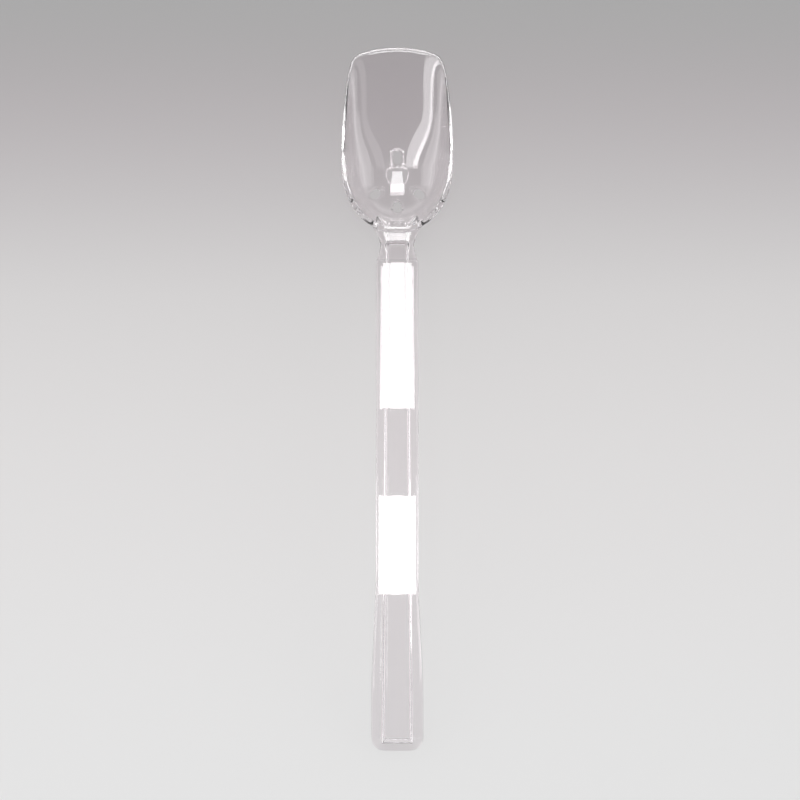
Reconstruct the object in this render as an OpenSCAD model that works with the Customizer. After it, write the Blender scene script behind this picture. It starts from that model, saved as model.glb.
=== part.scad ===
// Clear moulded serving scoop: square-tipped bowl with four drain slots, and a long
// arched handle with a channel along its underside. It lies on a table on two places:
// the flat pad under the bowl and the end of the handle.
//
// Millimetres. +Z is up and Z 0 is the table. +Y points along the scoop towards the tip
// of the bowl, and X 0 is its plane of symmetry. The origin is on the table, in the
// middle of the scoop's length.
//
// The scoop is one moulding. Each module is one region of it, and neighbouring regions
// meet face to face.

/* [Overall] */
// Length of the scoop from the tip of the bowl to the end of the handle
overall_l = 254; // [230:1:300]

/* [Bowl outline] */
// Width of the bowl across the outside of its rim
bowl_w = 40.2; // [36:0.2:46]
// Length of the bowl from its tip to the back of its rim
bowl_l = 66.6; // [62:0.2:72]
// Distance from the tip to the widest place of the bowl
bowl_wide = 41; // [36:0.5:43]
// Distance from the tip to the lowest place of the bowl
bowl_low = 44; // [42:0.5:48]
// Distance from the widest place at which the sides would close if they ran past the tip
side_run = 59; // [54:0.5:70]
// How square the outline is: 2 is an ellipse
squareness = 2.2; // [2:0.05:2.8]
// Radius of the gentle curve of the tip, seen from above
tip_r = 42.6; // [36:0.2:60]
// How sharply the tip turns into the sides: higher is sharper
corner_sharpness = 36; // [20:2:60]

/* [Bowl section] */
// Height of the tip of the bowl above the table
tip_h = 12.6; // [10:0.1:14]
// Height of the rim at the widest place
side_h = 12.4; // [10:0.1:14]
// Height of the rim at the back of the bowl
back_h = 16.4; // [14.5:0.1:18]
// Thickness of the floor of the bowl
floor_t = 1.8; // [1.4:0.1:3]
// Thickness of the rim at the tip
tip_t = 0.95; // [0.7:0.05:1.5]
// Thickness of the rim at the back
rim_t = 1.9; // [1.4:0.05:2.6]
// Height of the upright edge of the rim
edge_h = 1.2; // [0.8:0.1:2]
// Share of the depth that the slow curve of the floor takes, across the lowest place
floor_share = 0.5; // [0.3:0.01:0.6]
// The same share near the tip, where the floor is flat from side to side
tip_share = 0.1; // [0:0.01:0.3]
// The same share at the back
back_share = 0.34; // [0.2:0.01:0.5]
// Power of the walls' rise: higher makes a flatter floor and steeper walls
wall_power = 5; // [4:0.5:8]
// How gently the ramp to the tip starts: 0 is a straight ramp with a sharp start
ramp_round = 0.1; // [0.05:0.01:0.3]
// Half width of the flat pad under the bowl
pad_r = 5; // [3:0.5:7]

/* [Drain slots] */
// Width of a drain slot
slot_w = 3.8; // [3:0.1:3.9]
// Length of a drain slot
slot_l = 5.6; // [4.5:0.1:6.5]
// Distance from the tip to the front slot
slot_front = 39; // [37:0.5:42]
// Distance from the tip to the two side slots
slot_sides = 52.3; // [50:0.1:54]
// Distance from the middle to each side slot
slot_off = 8; // [6.5:0.1:9]
// Distance from the tip to the back slot
slot_back = 57; // [55:0.1:58]

/* [Handle] */
// Distance from the tip to the start of the handle's deck
deck_start = 77; // [74:0.5:82]
// Step down from the rim to the neck
neck_drop = 1.2; // [0.4:0.1:1.6]
// Climb of the neck from the bowl to the deck
neck_climb = 2.6; // [1.5:0.1:3.5]
// Radius of the handle's arch
arch_r = 360; // [330:5:420]
// Depth of the handle, from its deck to the bottom of its rails
handle_h = 7; // [6:0.1:8]
// Thickness of the deck
deck_t = 2.6; // [2:0.1:3.2]
// Width of the handle over most of its length
handle_w = 15.2; // [13.5:0.1:17]
// Width of the handle at its end
end_w = 18.8; // [16:0.1:22]
// Width of the waist between the bowl and the handle
waist_w = 12; // [10.5:0.1:13]
// Length over which the end flares
flare_l = 50; // [30:1:60]
// Length of the parallel stretch behind the flare
end_l = 18; // [14:0.5:24]
// Radius of the corners at the end of the handle
end_r = 4.8; // [3:0.1:6]

/* [Channel under the handle] */
// Width of the channel at the start of the deck
channel_w = 7.2; // [6:0.1:8.5]
// Width of the channel at its end wall
channel_end_w = 10.2; // [8:0.1:11.5]
// Thickness of the end wall
end_wall_t = 4.7; // [3.5:0.1:7]

/* [Hidden] */
$fn = 48;

// Clear plastic, as it shows in a preview
clear = [0.80, 0.84, 0.86, 0.45];
clear_dark = [0.68, 0.73, 0.76, 0.45];

around = 120;       // facets round the bowl
rings = 8;          // rings between the pad and the rim
blank_over = 1;     // how far a cutting solid runs past what it cuts
tall = overall_l / 4; // height of an upright cutting solid, well above the scoop

// Places along Y
tip_y = overall_l / 2;
wide_y = tip_y - bowl_wide;
low_y = tip_y - bowl_low;
deck_y = tip_y - deck_start;
end_y = -overall_l / 2;
wall_y = end_y + end_wall_t;
back_run = bowl_l - bowl_wide;

// Places along Z
neck_top_z = back_h - neck_drop;
deck_z = neck_top_z + neck_climb;

// Centre of the arch: the deck's top starts at deck_z, and the bottom edge of the
// handle's end touches the table
arch_span = [deck_y - end_y, deck_z];
arch_along = (pow(arch_r - handle_h, 2) - pow(arch_r, 2) + pow(norm(arch_span), 2))
             / (2 * norm(arch_span));
arch_off = sqrt(pow(arch_r - handle_h, 2) - pow(arch_along, 2));
arch_dir = arch_span / norm(arch_span);
arch_y = end_y + arch_along * arch_dir[0] + arch_off * arch_dir[1];
arch_z = arch_along * arch_dir[1] - arch_off * arch_dir[0];
function arch_at(y, r) = arch_z + sqrt(r * r - pow(y - arch_y, 2));

// A curve from 0 to 1 with level ends
function ease(t) = let (u = max(0, min(1, t))) u * u * (3 - 2 * u);

function mix(a, b, t) = a + (b - a) * t;

// Outside of the bowl's outline, as a distance from the widest place in direction a.
// The sides and back are two halves of a superellipse, and the tip is an arc. The last
// line takes the nearer of the two, with a small blend at the corners.
function side_reach(a) =
    pow(pow(abs(cos(a)) / (bowl_w / 2), squareness)
        + pow(abs(sin(a)) / (sin(a) > 0 ? side_run : back_run), squareness), -1 / squareness);
function tip_reach(a) =
    let (e = tip_r - bowl_wide) -e * sin(a) + sqrt(tip_r * tip_r - pow(e * cos(a), 2));
function outline(a) =
    let (s = side_reach(a), t = tip_reach(a), k = corner_sharpness, m = min(s, t))
    m * pow(pow(m / s, k) + pow(m / t, k), -1 / k);
function rim_y(a) = wide_y + outline(a) * sin(a);

// The same sides as a half width at y, and the same tip as a place along Y at x
function side_x(y) =
    bowl_w / 2 * pow(1 - pow(abs(y - wide_y) / (y > wide_y ? side_run : back_run), squareness),
                     1 / squareness);
function tip_at(x) = tip_y - tip_r + sqrt(tip_r * tip_r - x * x);

// Rim thickness: thin round the tip and along the front of the sides, full behind them
rim_from = -0.15;
rim_over = 0.35;
function rim_at(a) = mix(rim_t, tip_t, ease((sin(a) - rim_from) / rim_over));

// Rim height at y: nearly level from the tip to the widest place, then a curve upwards
rim_power = 1.5;
function rim_z(y) = y > wide_y
    ? mix(side_h, tip_h, (y - wide_y) / bowl_wide)
    : mix(side_h, back_h, pow((wide_y - y) / back_run, rim_power));

// A level start that turns into a straight climb from 0 to 1
function ramp(t, e) = (norm([t, e]) - e) / (norm([1, e]) - e);

// How far the floor has risen towards the rim, from 0 at the lowest place to 1. In front
// of that place a ramp runs up to the tip between two walls. Behind it the floor curves up
// to the rim all round. g is the share of the way from the lowest place to the rim.
front_l = 0.55;
tip_steeper = 3;
back_steeper = 2;
function wall(u, share, power) = share * u * u + (1 - share) * pow(u, power);
function rise(g, a, edge) =
    let (x = g * (outline(a) - edge) * cos(a),
         y = mix(low_y, wide_y + (outline(a) - edge) * sin(a), g))
    y > low_y
    ? let (t = min(1, (y - low_y) / (tip_at(x) - min(edge, tip_t) - low_y)),
           u = min(1, abs(x) / (side_x(y) - edge)),
           front = ease(t / front_l),
           along = ramp(t, ramp_round),
           across = wall(u, mix(floor_share, tip_share, front), wall_power + tip_steeper * front))
      mix(along, 1, across)
    : let (back = ease((low_y - rim_y(a)) / (bowl_l - bowl_low)))
      wall(g, mix(floor_share, back_share, back), wall_power + back_steeper * back);

// Share of the way to the rim at which the flat pad ends
function pad_g(a) = pad_r / norm([outline(a) * cos(a), rim_y(a) - low_y]);

// A point of the bowl's inner or outer skin
function skin(g, a, inner) =
    let (edge = inner ? rim_at(a) : 0,
         reach = outline(a) - edge,
         top = rim_z(mix(low_y, rim_y(a), g)),
         pad = rise(pad_g(a), a, 0),
         up = rise(g, a, edge))
    [reach * g * cos(a), mix(low_y, wide_y + reach * sin(a), g),
     inner ? mix(floor_t, top, up) : (top - edge_h) * max(0, up - pad) / (1 - pad)];

// The pad's edge, and rings spaced more closely towards the rim
function ring_g(i, a) = mix(pad_g(a), 1, 1 - pow(1 - i / rings, 1.4));

// Points round the bowl at ring i of one skin
function ring(i, inner) =
    [for (j = [0 : around - 1]) let (a = j * 360 / around) skin(ring_g(i, a), a, inner)];
function rim_edge() =
    [for (j = [0 : around - 1]) let (a = j * 360 / around)
        [outline(a) * cos(a), rim_y(a), rim_z(rim_y(a))]];

// A closed solid from a stack of rings, with a centre point at each end
module ring_solid(stack, first, last) {
    n = len(stack);
    points = [first, for (layer = stack) each layer, last];
    at = function (i, j) 1 + i * around + j % around;
    faces = [
        for (j = [0 : around - 1]) [0, at(0, j), at(0, j + 1)],
        for (i = [0 : n - 2], j = [0 : around - 1])
            each [[at(i, j), at(i + 1, j), at(i + 1, j + 1)],
                  [at(i, j), at(i + 1, j + 1), at(i, j + 1)]],
        for (j = [0 : around - 1]) [len(points) - 1, at(n - 1, j + 1), at(n - 1, j)]];
    polyhedron(points = points, faces = faces, convexity = 6);
}

// The bowl's shell: up the outside, over the rim and down the inside
module bowl_shell() {
    ring_solid(
        [for (i = [0 : rings]) ring(i, false), rim_edge(),
         for (i = [rings : -1 : 0]) ring(i, true)],
        [0, low_y, 0], [0, low_y, floor_t]);
}

// The same outside, filled to a point high above: it gives the neck its seat on the bowl
// and keeps the neck out of the space over the bowl
module bowl_blank() {
    ring_solid([for (i = [0 : rings]) ring(i, false), rim_edge()],
               [0, low_y, 0], [0, low_y, tall]);
}

module drain_slot(x, from_tip) {
    half = (slot_l - slot_w) / 2;
    translate([x, tip_y - from_tip, -blank_over]) {
        for (s = [-1, 1]) translate([0, s * half, 0]) cylinder(d = slot_w, h = tall);
        translate([-slot_w / 2, -half, 0]) cube([slot_w, 2 * half, tall]);
    }
}

// Half width of the neck and handle at y
neck_front_y = tip_y - bowl_l + 6;
waist_y = (tip_y - bowl_l + deck_y) / 2;
flare_end_y = end_y + end_l;
flare_start_y = flare_end_y + flare_l;
shoulder_l = 3;
root_flare = 4;
function half_w(y) =
    y > waist_y ? waist_w / 2 + root_flare * pow((y - waist_y) / (neck_front_y - waist_y), 2.5)
    : y > flare_start_y
        ? waist_w / 2 + (handle_w - waist_w) / 2 * ease((waist_y - y) / (waist_y - deck_y + shoulder_l))
    : handle_w / 2 + (end_w - handle_w) / 2 * ease((flare_start_y - y) / flare_l);

// Right-hand edge of the plan, from the bowl to the end's rounded corner
corner_steps = 6;
plan_edge = [
    for (y = [neck_front_y : -1.5 : deck_y - shoulder_l]) [half_w(y), y],
    for (i = [0 : 10]) let (y = flare_start_y - i * flare_l / 10) [half_w(y), y],
    for (i = [0 : corner_steps]) let (a = i * 90 / corner_steps)
        [end_w / 2 - end_r + end_r * cos(a), end_y + end_r - end_r * sin(a)]];

module plan() {
    polygon([each plan_edge,
             for (i = [len(plan_edge) - 1 : -1 : 0]) [-plan_edge[i][0], plan_edge[i][1]]]);
}

// Half width of the channel: it widens evenly from the bowl to the end wall
function channel_half(y) =
    (channel_w + (channel_end_w - channel_w) * (deck_y - y) / (deck_y - wall_y)) / 2;
module channel_plan(from_y, to_y) {
    polygon([[channel_half(from_y), from_y], [channel_half(to_y), to_y],
             [-channel_half(to_y), to_y], [-channel_half(from_y), from_y]]);
}

// The part of the plan between two places along Y
module plan_between(from_y, to_y) {
    intersection() {
        plan();
        translate([-end_w, to_y]) square([2 * end_w, from_y - to_y]);
    }
}

// A layer of the handle's arch, between two depths below the deck's top
module arch_layer(from_depth, to_depth) {
    translate([0, arch_y, arch_z]) rotate([0, 90, 0]) difference() {
        cylinder(r = arch_r - from_depth, h = 2 * end_w, center = true, $fn = 360);
        cylinder(r = arch_r - to_depth, h = 3 * end_w, center = true, $fn = 360);
    }
}

// Side view of the neck: its top leaves the rim level, climbs, and levels out at the deck
rim_back_y = tip_y - bowl_l;
neck_root_h = 10.4;
neck_steps = 10;
function neck_top(y) =
    neck_top_z + neck_climb * ease((rim_back_y - y) / (rim_back_y - deck_y));
function neck_bottom(y) =
    let (end_h = deck_z - arch_at(deck_y, arch_r - handle_h),
         t = (neck_front_y - y) / (neck_front_y - deck_y))
    neck_top(y) - neck_root_h + (neck_root_h - end_h) * ease(t);
neck_ys = [for (i = [0 : neck_steps]) neck_front_y + (deck_y - neck_front_y) * i / neck_steps];

module along_x(width) {
    // turns a drawing of (Y, Z) upright, and runs it from -width/2 to width/2 along X
    rotate([90, 0, 90]) linear_extrude(width, center = true) children();
}
module neck_side() {
    polygon([for (y = neck_ys) [y, neck_top(y)],
             for (i = [neck_steps : -1 : 0]) [neck_ys[i], neck_bottom(neck_ys[i])]]);
}

module bowl() {
    color(clear) difference() {
        bowl_shell();
        drain_slot(0, slot_front);
        for (s = [-1, 1]) drain_slot(s * slot_off, slot_sides);
        drain_slot(0, slot_back);
    }
}

module neck() {
    color(clear_dark) difference() {
        intersection() {
            along_x(3 * end_w) neck_side();
            linear_extrude(tall) plan_between(neck_front_y, deck_y);
        }
        bowl_blank();
        intersection() {
            along_x(3 * end_w) polygon([
                for (y = neck_ys) [y, neck_top(y) - deck_t],
                [deck_y, -blank_over], [neck_front_y, -blank_over]]);
            linear_extrude(tall, center = true)
                channel_plan(neck_front_y + blank_over, deck_y - blank_over);
        }
    }
}

module handle_deck() {
    color(clear) intersection() {
        arch_layer(0, deck_t);
        linear_extrude(tall) plan_between(deck_y, end_y);
    }
}

// One rail: what is left of the arch's lower layer outside the channel, on one side
module rail(side) {
    color(clear_dark) intersection() {
        arch_layer(deck_t, handle_h);
        linear_extrude(tall) difference() {
            intersection() {
                plan_between(deck_y, end_y);
                translate([side > 0 ? 0 : -end_w, end_y - blank_over])
                    square([end_w, overall_l]);
            }
            channel_plan(deck_y + blank_over, end_y - blank_over);
        }
    }
}
module left_rail() rail(-1);
module right_rail() rail(1);

// The end wall closes the channel between the two rails
module end_wall() {
    color(clear) intersection() {
        arch_layer(deck_t, handle_h);
        linear_extrude(tall) intersection() {
            plan_between(wall_y, end_y);
            channel_plan(wall_y + blank_over, end_y - blank_over);
        }
    }
}

bowl();
neck();
handle_deck();
left_rail();
right_rail();
end_wall();
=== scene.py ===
"""A clear moulded serving scoop, lying bowl up on a pale table.

The scoop is one injection moulding. It is modelled as one skin, from the lowest place of the bowl to
the end of the handle, and then parted where the handle's deck starts, so that the bowl with its neck
and the handle are two closed pieces.
"""

import math

import bpy
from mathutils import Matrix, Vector


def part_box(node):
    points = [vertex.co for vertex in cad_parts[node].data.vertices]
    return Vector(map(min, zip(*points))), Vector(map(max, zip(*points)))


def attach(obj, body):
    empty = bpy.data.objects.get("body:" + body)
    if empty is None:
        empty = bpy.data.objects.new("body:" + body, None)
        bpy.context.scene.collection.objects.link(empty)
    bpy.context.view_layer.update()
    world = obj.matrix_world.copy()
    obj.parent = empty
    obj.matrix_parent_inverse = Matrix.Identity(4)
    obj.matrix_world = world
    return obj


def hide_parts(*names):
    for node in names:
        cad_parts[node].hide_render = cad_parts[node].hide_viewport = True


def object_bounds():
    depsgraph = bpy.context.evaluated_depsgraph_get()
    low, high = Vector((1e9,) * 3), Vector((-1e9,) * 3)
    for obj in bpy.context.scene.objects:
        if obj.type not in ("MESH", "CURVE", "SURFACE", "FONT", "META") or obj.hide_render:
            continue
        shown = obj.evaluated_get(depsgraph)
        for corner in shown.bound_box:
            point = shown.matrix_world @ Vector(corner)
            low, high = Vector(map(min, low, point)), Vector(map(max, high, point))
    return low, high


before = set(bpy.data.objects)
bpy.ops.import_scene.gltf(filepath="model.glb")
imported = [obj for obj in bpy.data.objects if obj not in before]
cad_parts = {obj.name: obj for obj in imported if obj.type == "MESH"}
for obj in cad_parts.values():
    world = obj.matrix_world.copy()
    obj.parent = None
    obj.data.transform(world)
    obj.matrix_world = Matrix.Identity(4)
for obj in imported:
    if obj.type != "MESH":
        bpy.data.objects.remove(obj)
cad_low, cad_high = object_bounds()
mm = 0.001

# ---------------------------------------------------------------------------------------------------
# The moulding's skin, in clear polycarbonate. It starts as a flat round plate: its upper face becomes
# the inside of the bowl, its lower face the outside, and the neck and handle are drawn out of the lower
# face at the back. The heights are estimates, because none of them shows from above.

tip_y, end_y = cad_high.y, cad_low.y
bowl_box, deck_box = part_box("bowl"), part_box("handle_deck")
bowl_w = bowl_box[1].x - bowl_box[0].x
bowl_l = bowl_box[1].y - bowl_box[0].y
back_h = bowl_box[1].z
tip_h, side_h = 12.6 * mm, 12.4 * mm
wide_l = 41 * mm  # from the tip to the widest place of the bowl
centre_y = tip_y - wide_l
low_y = tip_y - 44 * mm  # the lowest place of the bowl
side_run, back_run, tip_r = 59 * mm, bowl_l - wide_l, 42.6 * mm
squareness, corner_sharpness = 2.2, 36
floor_t, tip_t, rim_t, edge_h = 1.8 * mm, 0.95 * mm, 1.9 * mm, 1.2 * mm
ramp_round = 0.10
pad_drop = 0.25 * mm

core_cells = 32  # faces across the square in the middle of the plate
rings = 18  # rings of faces round that square
land_rings = 6  # the outermost of them, which make the top of the rim
core_g = 0.3  # share of the way from the lowest place to the rim that the square takes


def ease(t):
    """A curve from 0 to 1 with level ends."""
    t = min(1, max(0, t))
    return t * t * (3 - 2 * t)


def mix(a, b, t):
    return a + (b - a) * t


def ramp(t):
    """A straight climb from 0 to 1 that starts level."""
    return (math.hypot(t, ramp_round) - ramp_round) / (math.hypot(1, ramp_round) - ramp_round)


def side_reach(a):
    run = side_run if math.sin(a) > 0 else back_run
    return (abs(math.cos(a) / (bowl_w / 2)) ** squareness + abs(math.sin(a) / run) ** squareness) ** (
        -1 / squareness
    )


def outline(a):
    """Reach of the bowl's outside in direction a, from its widest place."""
    off = tip_r - wide_l
    side, tip = side_reach(a), -off * math.sin(a) + math.sqrt(tip_r**2 - (off * math.cos(a)) ** 2)
    near = min(side, tip)
    return near * ((near / side) ** corner_sharpness + (near / tip) ** corner_sharpness) ** (
        -1 / corner_sharpness
    )


def side_x(y):
    """Half width of the bowl's outside at y, as if it had no square tip."""
    run = side_run if y > centre_y else back_run
    return bowl_w / 2 * max(0, 1 - abs((y - centre_y) / run) ** squareness) ** (1 / squareness)


def rim_z(y):
    """Height of the rim at y."""
    if y > centre_y:
        return mix(side_h, tip_h, (y - centre_y) / (tip_y - centre_y))
    return side_h + (back_h - side_h) * ((centre_y - y) / back_run) ** 1.5


def rim_at(a):
    """Thickness of the rim in direction a: thin round the tip, full behind the widest place."""
    return mix(rim_t, tip_t, ease((math.sin(a) + 0.15) / 0.35))


def skin_point(g, a, inner):
    """A point of the bowl's inside or outside, from its lowest place (g = 0) to its rim (g = 1)."""
    edge = rim_at(a) if inner else 0
    reach = outline(a) - edge
    x, y = g * reach * math.cos(a), mix(low_y, centre_y + reach * math.sin(a), g)
    base, drop = (floor_t, 0) if inner else (0, edge_h)
    if y > low_y:
        tip = math.sqrt(tip_r**2 - x**2) - tip_r + tip_y
        t = (y - low_y) / (tip - (tip_t if inner else 0) - low_y)
        u = abs(x) / (side_x(y) - edge)
        front = ease(t / 0.55)
        share = mix(0.5, 0.1, front)
        across = share * u**2 + (1 - share) * u ** mix(5, 8, front)
        along = ramp(t)
        z = mix(mix(base, rim_z(tip) - drop, along), rim_z(y) - drop, across)
        steep = max(across, along)
    else:
        back = ease(-math.sin(a))
        share = mix(0.5, 0.34, back)
        steep = share * g**2 + (1 - share) * g ** mix(5, 7, back)
        z = mix(base, rim_z(centre_y + outline(a) * math.sin(a)) - drop, steep)
    return x, y, z if inner else max(0, z - pad_drop * (1 - steep))


# The neck and handle: stations along Y, each with a section of 17 columns and 7 rows
deck_y = deck_box[1].y
wall_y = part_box("end_wall")[1].y
handle_h, deck_t = 7 * mm, 2.6 * mm
arch_r = 360 * mm
arch_z = deck_box[1].z - arch_r
arch_y = end_y + math.sqrt((arch_r - handle_h) ** 2 - arch_z**2)
rim_back_y = tip_y - bowl_l
waist_y = rim_back_y - 4.6 * mm
waist_w, handle_w = 12 * mm, 15.2 * mm
end_w = deck_box[1].x - deck_box[0].x
end_r = 4.8 * mm
flare_end_y = end_y + 18 * mm
flare_l = 50 * mm
channel_w, channel_end_w = 7.2 * mm, 10.2 * mm
fillet = 0.3 * mm
wall_slope = 1.4 * mm
columns, rows = 8, 6
root_steps = 5
neck_top_z = back_h - edge_h
neck_start_y = rim_back_y - 0.9 * mm
neck_round = 0.3
root_depth = 8.5 * mm  # depth of the neck where it leaves the bowl
crown = 0.15 * mm  # how much lower the sides of the deck are than its middle


def deck_top(y):
    return arch_z + math.sqrt(arch_r**2 - (y - arch_y) ** 2)


def section_top(y):
    if y <= deck_y:
        return deck_top(y)
    t = max(0, neck_start_y - y) / (neck_start_y - deck_y)
    climb = (math.hypot(t, neck_round) - neck_round) / (math.hypot(1, neck_round) - neck_round)
    return mix(neck_top_z, deck_top(deck_y), climb)


def section_bottom(y):
    under = arch_z + math.sqrt((arch_r - handle_h) ** 2 - (min(y, deck_y) - arch_y) ** 2)
    if y <= deck_y:
        return under
    t = ease((rim_back_y - y) / (rim_back_y - deck_y))
    return section_top(y) - mix(root_depth, deck_top(deck_y) - under, t)


def half_width(y):
    if y > deck_y:
        return mix(waist_w, handle_w, ease((waist_y - y) / (waist_y - deck_y + 2 * mm))) / 2
    wide = mix(handle_w, end_w, ease((flare_end_y + flare_l - y) / flare_l)) / 2
    back = max(0, end_r - (y - end_y))
    return wide - end_r + math.sqrt(max(0, end_r**2 - back**2))


def section_point(y, column, row):
    """Columns run from -8 to 8 across the handle, and rows from 0 at the bottom to 6 at the top."""
    side, half = int(abs(column)), half_width(y)
    top, bottom = section_top(y), section_bottom(y)
    channel = min(mix(channel_w, channel_end_w, (deck_y - y) / (deck_y - wall_y)) / 2, half * 0.6)
    deep = ease((rim_back_y - 1 * mm - y) / (4 * mm))
    if y < wall_y:
        deep = mix(1, 0.75, (wall_y - y) / wall_slope) if y > wall_y - wall_slope else 0
    ceiling = mix(bottom, top - deck_t, deep)
    x_low = [0, channel / 2, channel - fillet, channel, channel, channel + fillet, (channel + half) / 2]
    x_low += [half - fillet, half]
    z_low = [ceiling, ceiling, ceiling, mix(bottom, ceiling, 0.9), mix(bottom, ceiling, 0.1)]
    z_low += [bottom, bottom, bottom, bottom + fillet]
    bevel = min(mix(2.3 * mm, 0.65 * mm, ease((deck_y - 30 * mm - y) / (40 * mm))), half * 0.35)
    flat = half - bevel
    x_high = [flat * k for k in (0, 0.25, 0.5, 0.7, 0.85, 0.96)]
    x_high += [flat + 0.1 * bevel, mix(flat, half, 0.7), half]
    z_high = [top - crown * (x / half) ** 2 for x in x_high]
    z_high[7] -= 0.25 * mm
    z_high[8] -= 0.8 * mm
    t = [0, 0.1, 0.3, 0.5, 0.7, 0.9, 1][row]
    x = mix(x_low[side], x_high[side], t)
    return math.copysign(x, column), mix(z_low[side], z_high[side], t)


stations = [mix(rim_back_y - 0.8 * mm, deck_y + 0.3 * mm, i / 10) for i in range(11)]
stations += [deck_y - 0.1 * mm, deck_y - 0.8 * mm, deck_y - 2.5 * mm]
stations += [mix(deck_y - 5 * mm, wall_y + 3 * mm, i / 36) for i in range(37)]
stations += [wall_y + d * mm for d in (1, 0.1, 0, -0.1, -1.3, -1.38, -1.42, -1.5)]
stations += [end_y + d * mm for d in (3, 2.4, 1.8, 1.1, 0.6, 0.25, 0.06, 0)]

# A square grid rounded into a disc of radius 1 is the middle of the plate. Rings are drawn out round it,
# one unit apart, and the plate is then given its second face one unit below.
bpy.ops.object.select_all(action="DESELECT")
bpy.ops.mesh.primitive_grid_add(x_subdivisions=core_cells, y_subdivisions=core_cells, size=2)
scoop = bpy.context.object
for v in scoop.data.vertices:
    u, w = v.co.x, v.co.y
    v.co.x, v.co.y = u * math.sqrt(1 - w * w / 2), w * math.sqrt(1 - u * u / 2)
bpy.ops.object.mode_set(mode="EDIT")
bpy.ops.mesh.select_all(action="SELECT")
bpy.ops.mesh.region_to_loop()
for i in range(rings):
    bpy.ops.mesh.extrude_edges_move()
    k = (i + 2) / (i + 1)
    bpy.ops.transform.resize(value=(k, k, 1), center_override=(0, 0, 0))
bpy.ops.mesh.select_all(action="SELECT")
bpy.ops.mesh.extrude_region_move(TRANSFORM_OT_translate={"value": (0, 0, -1)})
bpy.ops.mesh.select_all(action="SELECT")
bpy.ops.mesh.normals_make_consistent(inside=False)
bpy.ops.mesh.select_all(action="DESELECT")
bpy.ops.object.mode_set(mode="OBJECT")

# The neck is drawn out of the lower face's outermost six rings, sixteen faces wide, one unit a station
for p in scoop.data.polygons:
    c = p.center
    behind = abs(math.atan2(c.x, -c.y)) < math.radians(20.5)
    p.select = c.z < -0.9 and math.hypot(c.x, c.y) > rings + 1 - rows and behind
bpy.ops.object.mode_set(mode="EDIT")
for y in stations:
    bpy.ops.mesh.extrude_region_move(TRANSFORM_OT_translate={"value": (0, 0, -1)})
bpy.ops.object.mode_set(mode="OBJECT")

# Each vertex goes to its place on the scoop
column_angle = [
    math.atan2(i / 16 * math.sqrt(0.5), math.sqrt(1 - (i / 16) ** 2 / 2)) for i in range(columns + 1)
]


def plate_to_scoop(co):
    radius, a = math.hypot(co.x, co.y), math.atan2(co.y, co.x)
    ring = radius - 1
    if co.z > -0.5:
        last = rings - land_rings
        g = 1 - (1 - core_g) * max(0, 1 - ring / last) ** 1.3 if ring > 0 else radius * core_g
        x, y, z = skin_point(g, a, True)
        over = round(ring) - last
        if over < 0:
            return x, y, z
        out = outline(a)
        reach = out - rim_at(a) * (1 - [0, 0.06, 0.15, 0.5, 0.85, 0.94, 1][over])
        top = rim_z(centre_y + out * math.sin(a))
        drop = [0.12 * mm * (1 - ease(math.sin(a))), 0.03 * mm, 0, 0, 0, 0.04 * mm, 0.15 * mm][over]
        return reach * math.cos(a), centre_y + reach * math.sin(a), top - drop
    g = 1 - (1 - core_g) * max(0, 1 - ring / rings) ** 1.3 if ring > 0 else radius * core_g
    root = skin_point(g, a, False)
    if co.z > -1.5:
        return root
    station = round(-1 - co.z) - 1
    off = math.atan2(co.x, -co.y)
    near = min(range(columns + 1), key=lambda i: abs(column_angle[i] - abs(off)))
    x, z = section_point(stations[station], math.copysign(near, off), round(ring) - rings + rows)
    blend = ease((station + 1) / root_steps)
    y = mix(root[1], stations[station], ease((station + 2) / (root_steps + 1)))
    return mix(root[0], x, blend), y, mix(root[2], z, blend)


for v in scoop.data.vertices:
    v.co = plate_to_scoop(v.co)
scoop.name = scoop.data.name = "scoop"

smooth = scoop.modifiers.new("smooth", "SUBSURF")
smooth.levels = smooth.render_levels = 1
bpy.ops.object.modifier_apply(modifier=smooth.name)

# Four drain slots are moulded through the floor, each with rounded edges
slot_w, slot_l, slot_round = 2.9 * mm, 4.9 * mm, 0.85 * mm
edge_curve = [(0, 1), (0.094, 0.577), (0.293, 0.293), (0.577, 0.094), (1, 0)]
slot_places = [(0, 39), (8 * mm, 52.3), (-8 * mm, 52.3), (0, 57)]
slot_frames = []


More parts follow.
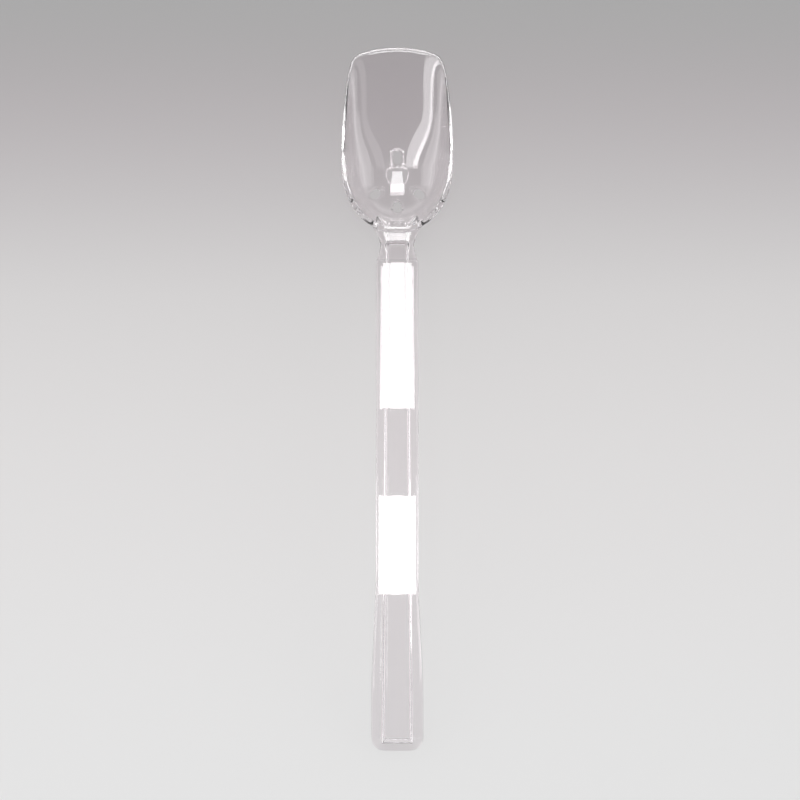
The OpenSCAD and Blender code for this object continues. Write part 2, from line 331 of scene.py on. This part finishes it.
def slot_cutter(x, y):
    """A tool for one slot: straight in the wall, and flared where it meets the two skins."""
    above = scoop.ray_cast(Vector((x, y, 0.1)), Vector((0, 0, -1)))
    below = scoop.ray_cast(Vector((x, y, -0.1)), Vector((0, 0, 1)))
    normal = above[2]
    thick = (above[1] - below[1]).dot(normal)
    bpy.ops.mesh.primitive_cylinder_add(vertices=26, radius=slot_w / 2, depth=thick - 1.99 * slot_round)
    tool = bpy.context.object
    for side in (1, -1):
        bpy.ops.object.mode_set(mode="EDIT")
        bpy.ops.mesh.select_all(action="DESELECT")
        bpy.ops.object.mode_set(mode="OBJECT")
        for p in tool.data.polygons:
            p.select = len(p.vertices) > 4 and p.center.z * side > 0
        bpy.ops.object.mode_set(mode="EDIT")
        depth, wide = 1, 0
        for next_depth, next_wide in edge_curve[-2::-1] + [(-1.2, 1.12)]:
            k = (slot_w / 2 + next_wide * slot_round) / (slot_w / 2 + wide * slot_round)
            up = (depth - next_depth) * slot_round * side
            bpy.ops.mesh.extrude_region_move(TRANSFORM_OT_translate={"value": (0, 0, up)})
            bpy.ops.transform.resize(value=(k, k, 1))
            depth, wide = next_depth, next_wide
    bpy.ops.object.mode_set(mode="OBJECT")
    for v in tool.data.vertices:
        v.co.y += math.copysign((slot_l - slot_w) / 2, v.co.y)
    tool.rotation_euler = normal.to_track_quat("Z", "Y").to_euler()
    tool.location = (above[1] + below[1]) / 2
    bpy.context.view_layer.update()
    slot_frames.append(tool.matrix_world.inverted())
    bpy.ops.object.transform_apply(location=True, rotation=True)
    return tool


for x, d in slot_places:
    tool = slot_cutter(x, tip_y - d * mm)
    bpy.context.view_layer.objects.active = scoop
    cut = scoop.modifiers.new("slot", "BOOLEAN")
    cut.operation, cut.solver, cut.object = "DIFFERENCE", "EXACT", tool
    bpy.ops.object.modifier_apply(modifier=cut.name)
    bpy.data.objects.remove(tool)
bpy.ops.object.select_all(action="DESELECT")
scoop.select_set(True)
bpy.ops.object.shade_smooth()
bpy.ops.object.mode_set(mode="EDIT")
bpy.ops.mesh.select_all(action="DESELECT")
bpy.ops.object.mode_set(mode="OBJECT")
for p in scoop.data.polygons:
    for place in slot_frames:
        c = place @ p.center
        off = math.hypot(c.x, max(0, abs(c.y) - (slot_l - slot_w) / 2))
        if off < slot_w / 2 + slot_round - 0.03 * mm and abs(c.z) < 2 * mm:
            p.select = True
bpy.ops.object.mode_set(mode="EDIT")
bpy.ops.mesh.region_to_loop()
bpy.ops.mesh.mark_sharp()
bpy.ops.object.mode_set(mode="OBJECT")

# ---------------------------------------------------------------------------------------------------
# Clear polycarbonate: a smooth, water-clear plastic with a refractive index of 1.585. Light from lamps,
# and light that the floor scatters, goes straight through it, so that the floor under the scoop isn't
# lit twice. It is a little less clear where it is seen edge on.


def linear(text):
    """An sRGB hex colour as linear RGBA."""
    parts = [int(text[i : i + 2], 16) / 255 for i in (1, 3, 5)]
    return tuple(c / 12.92 if c <= 0.04045 else ((c + 0.055) / 1.055) ** 2.4 for c in parts) + (1,)


def add(tree, kind, links=(), **settings):
    """Adds a node, sets its properties and sockets, and links (its input, from node, from output)."""
    node = tree.nodes.new(kind)
    for name, value in settings.items():
        if hasattr(node, name):
            setattr(node, name, value)
        else:
            node.inputs[name.replace("_", " ")].default_value = value
    for to, source, output in links:
        tree.links.new(source.outputs[output], node.inputs[to])
    return node


def new_material(name):
    material = bpy.data.materials.new(name)
    material.use_nodes = True
    material.node_tree.nodes.clear()
    return material, material.node_tree


material, tree = new_material("clear_polycarbonate")
plastic = add(
    tree,
    "ShaderNodeBsdfPrincipled",
    Base_Color=linear("#FBF7F9"),
    Roughness=0.02,
    IOR=1.585,
    Transmission_Weight=1.0,
)
facing = add(tree, "ShaderNodeLayerWeight", Blend=0.5)
shade = add(
    tree,
    "ShaderNodeMix",
    [("Factor", facing, "Facing")],
    data_type="RGBA",
    A=linear("#FFFFFF"),
    B=linear("#F0F0F0"),
)
light_through = add(tree, "ShaderNodeBsdfTransparent", [("Color", shade, "Result")])
path = add(tree, "ShaderNodeLightPath")
seen = add(
    tree,
    "ShaderNodeMixShader",
    [(0, path, "Is Diffuse Ray"), (1, plastic, "BSDF"), (2, light_through, "BSDF")],
)
both = add(
    tree,
    "ShaderNodeMixShader",
    [(0, path, "Is Shadow Ray"), (1, seen, 0), (2, light_through, "BSDF")],
)
add(tree, "ShaderNodeOutputMaterial", [("Surface", both, 0)])
scoop.data.materials.append(material)

# ---------------------------------------------------------------------------------------------------
# Bowl and handle. The real moulding is one piece of plastic. Its skin is parted here, where the neck
# meets the deck, only so that the bowl with its neck, and the handle with its rails and channel, are
# two named pieces.

part_gap = 0.03 * mm


def keep_side(piece, y, keep_front):
    """Cuts a piece across at y, closes the cut, and keeps what lies on one side of it."""
    bpy.ops.object.select_all(action="DESELECT")
    bpy.context.view_layer.objects.active = piece
    piece.select_set(True)
    bpy.ops.object.mode_set(mode="EDIT")
    bpy.ops.mesh.select_all(action="SELECT")
    bpy.ops.mesh.bisect(
        plane_co=(0, y, 0),
        plane_no=(0, 1, 0),
        use_fill=True,
        clear_inner=keep_front,
        clear_outer=not keep_front,
    )
    bpy.ops.mesh.mark_sharp()
    bpy.ops.object.mode_set(mode="OBJECT")


handle = scoop.copy()
handle.data = scoop.data.copy()
bpy.context.collection.objects.link(handle)
handle.name = handle.data.name = "handle"
scoop.name = scoop.data.name = "bowl_and_neck"
keep_side(scoop, deck_y + part_gap / 2, True)
keep_side(handle, deck_y - part_gap / 2, False)

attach(scoop, "root")
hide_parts("bowl", "neck")
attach(handle, "root")
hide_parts("handle_deck", "left_rail", "right_rail", "end_wall")

# ---------------------------------------------------------------------------------------------------
# Floor, lights and camera. The scoop lies on pale paper. The grey that deepens towards the tip is
# painted shade that stands in for the studio light falling off there. Two large softboxes overhead are
# reflected as the white patches on the handle and in the bowl, and weaker lamps and a dim surround give
# the softer lights in the walls.

bpy.ops.mesh.primitive_plane_add(size=8)
floor = bpy.context.object
floor.name = "floor"
material, tree = new_material("pale_paper_painted_shade")
place = add(tree, "ShaderNodeTexCoord")
axis = add(tree, "ShaderNodeSeparateXYZ", [("Vector", place, "Object")])
along = add(tree, "ShaderNodeMapRange", [("Value", axis, "Y")])
along.inputs["From Min"].default_value = -0.145
along.inputs["From Max"].default_value = 0.145
# Painted shade: this ramp darkens the paper's colour towards the tip (+Y) in place of the light falling
# off there
paper_painted_shade = add(tree, "ShaderNodeValToRGB", [("Fac", along, "Result")])
stops = [(0.0, "#E6E6E6"), (0.2, "#E5E4E4"), (0.45, "#E0DEDE"), (0.63, "#D8D6D6")]
stops += [(0.75, "#C8C5C6"), (0.88, "#B6B1B3"), (1.0, "#ABABAB")]
paper_painted_shade.color_ramp.interpolation = "B_SPLINE"
while len(paper_painted_shade.color_ramp.elements) < len(stops):
    paper_painted_shade.color_ramp.elements.new(0.5)
for element, (position, colour) in zip(paper_painted_shade.color_ramp.elements, stops):
    element.position = position
    element.color = linear(colour)
paper = add(tree, "ShaderNodeBsdfPrincipled", [("Base Color", paper_painted_shade, "Color")], Roughness=0.9)
paper.inputs["Specular IOR Level"].default_value = 0.0
add(tree, "ShaderNodeOutputMaterial", [("Surface", paper, "BSDF")])
floor.data.materials.append(material)


def softbox(name, centre, size, radiance, aim=(0, 0, 0)):
    """A rectangular lamp that faces aim. Its power gives the asked radiance."""
    data = bpy.data.lights.new(name, "AREA")
    data.shape = "RECTANGLE"
    data.size, data.size_y = size
    data.energy = radiance * math.pi * size[0] * size[1]
    lamp = bpy.data.objects.new(name, data)
    bpy.context.scene.collection.objects.link(lamp)
    lamp.location = centre
    lamp.rotation_euler = (Vector(centre) - Vector(aim)).to_track_quat("Z", "Y").to_euler()
    lamp.visible_camera = False


lamp_h = 3
softbox("softbox_far", (0, 0.818, lamp_h), (0.686, 1.16), 8.5, aim=(0, 0.818, 0))
softbox("softbox_near", (0, -0.767, lamp_h), (0.686, 0.749), 8.5, aim=(0, -0.767, 0))
softbox("strip_left", (-1.3, -1.15, lamp_h), (0.4, 1.8), 6, aim=(-1.3, -1.15, 0))
softbox("soft_left", (-0.8, -1.15, lamp_h), (0.6, 1.8), 2.5, aim=(-0.8, -1.15, 0))
softbox("soft_right", (1.2, -0.9, lamp_h), (0.8, 1.6), 0.6, aim=(1.2, -0.9, 0))
softbox("side_left", (-3.2, 0, 2.2), (2.5, 2.5), 1.2)
softbox("side_right", (3.2, 0, 2.2), (2.5, 2.5), 1.2)

world = bpy.data.worlds.new("studio")
bpy.context.scene.world = world
world.use_nodes = True
tree = world.node_tree
place = add(tree, "ShaderNodeTexCoord")
axis = add(tree, "ShaderNodeSeparateXYZ", [("Vector", place, "Generated")])
sky = add(tree, "ShaderNodeValToRGB", [("Fac", axis, "Z")])
grey = [(0, 1.0), (0.3, 0.8), (0.6, 0.06), (0.92, 0.06), (0.98, 0.3)]
while len(sky.color_ramp.elements) < len(grey):
    sky.color_ramp.elements.new(0.5)
for element, (position, value) in zip(sky.color_ramp.elements, grey):
    element.position = position
    element.color = (value, value, value, 1)
front = add(tree, "ShaderNodeMapRange", [("Value", axis, "Y")], interpolation_type="SMOOTHSTEP")
front.inputs["From Min"].default_value = -0.9
front.inputs["From Max"].default_value = -0.4
front.inputs["To Min"].default_value = 0.1
front.inputs["To Max"].default_value = 1.6
tree.links.new(sky.outputs["Color"], tree.nodes["Background"].inputs["Color"])
tree.links.new(front.outputs["Result"], tree.nodes["Background"].inputs["Strength"])

camera_h = 1.2
view_w = 0.2894
camera_data = bpy.data.cameras.new("camera")
camera_data.sensor_width = 36
focus_h = 0.008  # the height at which the picture is view_w wide
camera_data.lens = camera_data.sensor_width * (camera_h - focus_h) / view_w
camera = bpy.data.objects.new("camera", camera_data)
bpy.context.scene.collection.objects.link(camera)
camera.location = (0.001, 0, camera_h)
bpy.context.scene.camera = camera
# Light is thrown to and fro inside the clear walls many times before it comes out
bpy.context.scene.cycles.glossy_bounces = 16
bpy.context.scene.cycles.transmission_bounces = 24
bpy.context.scene.cycles.max_bounces = 32
bpy.context.scene.view_settings.view_transform = "Standard"
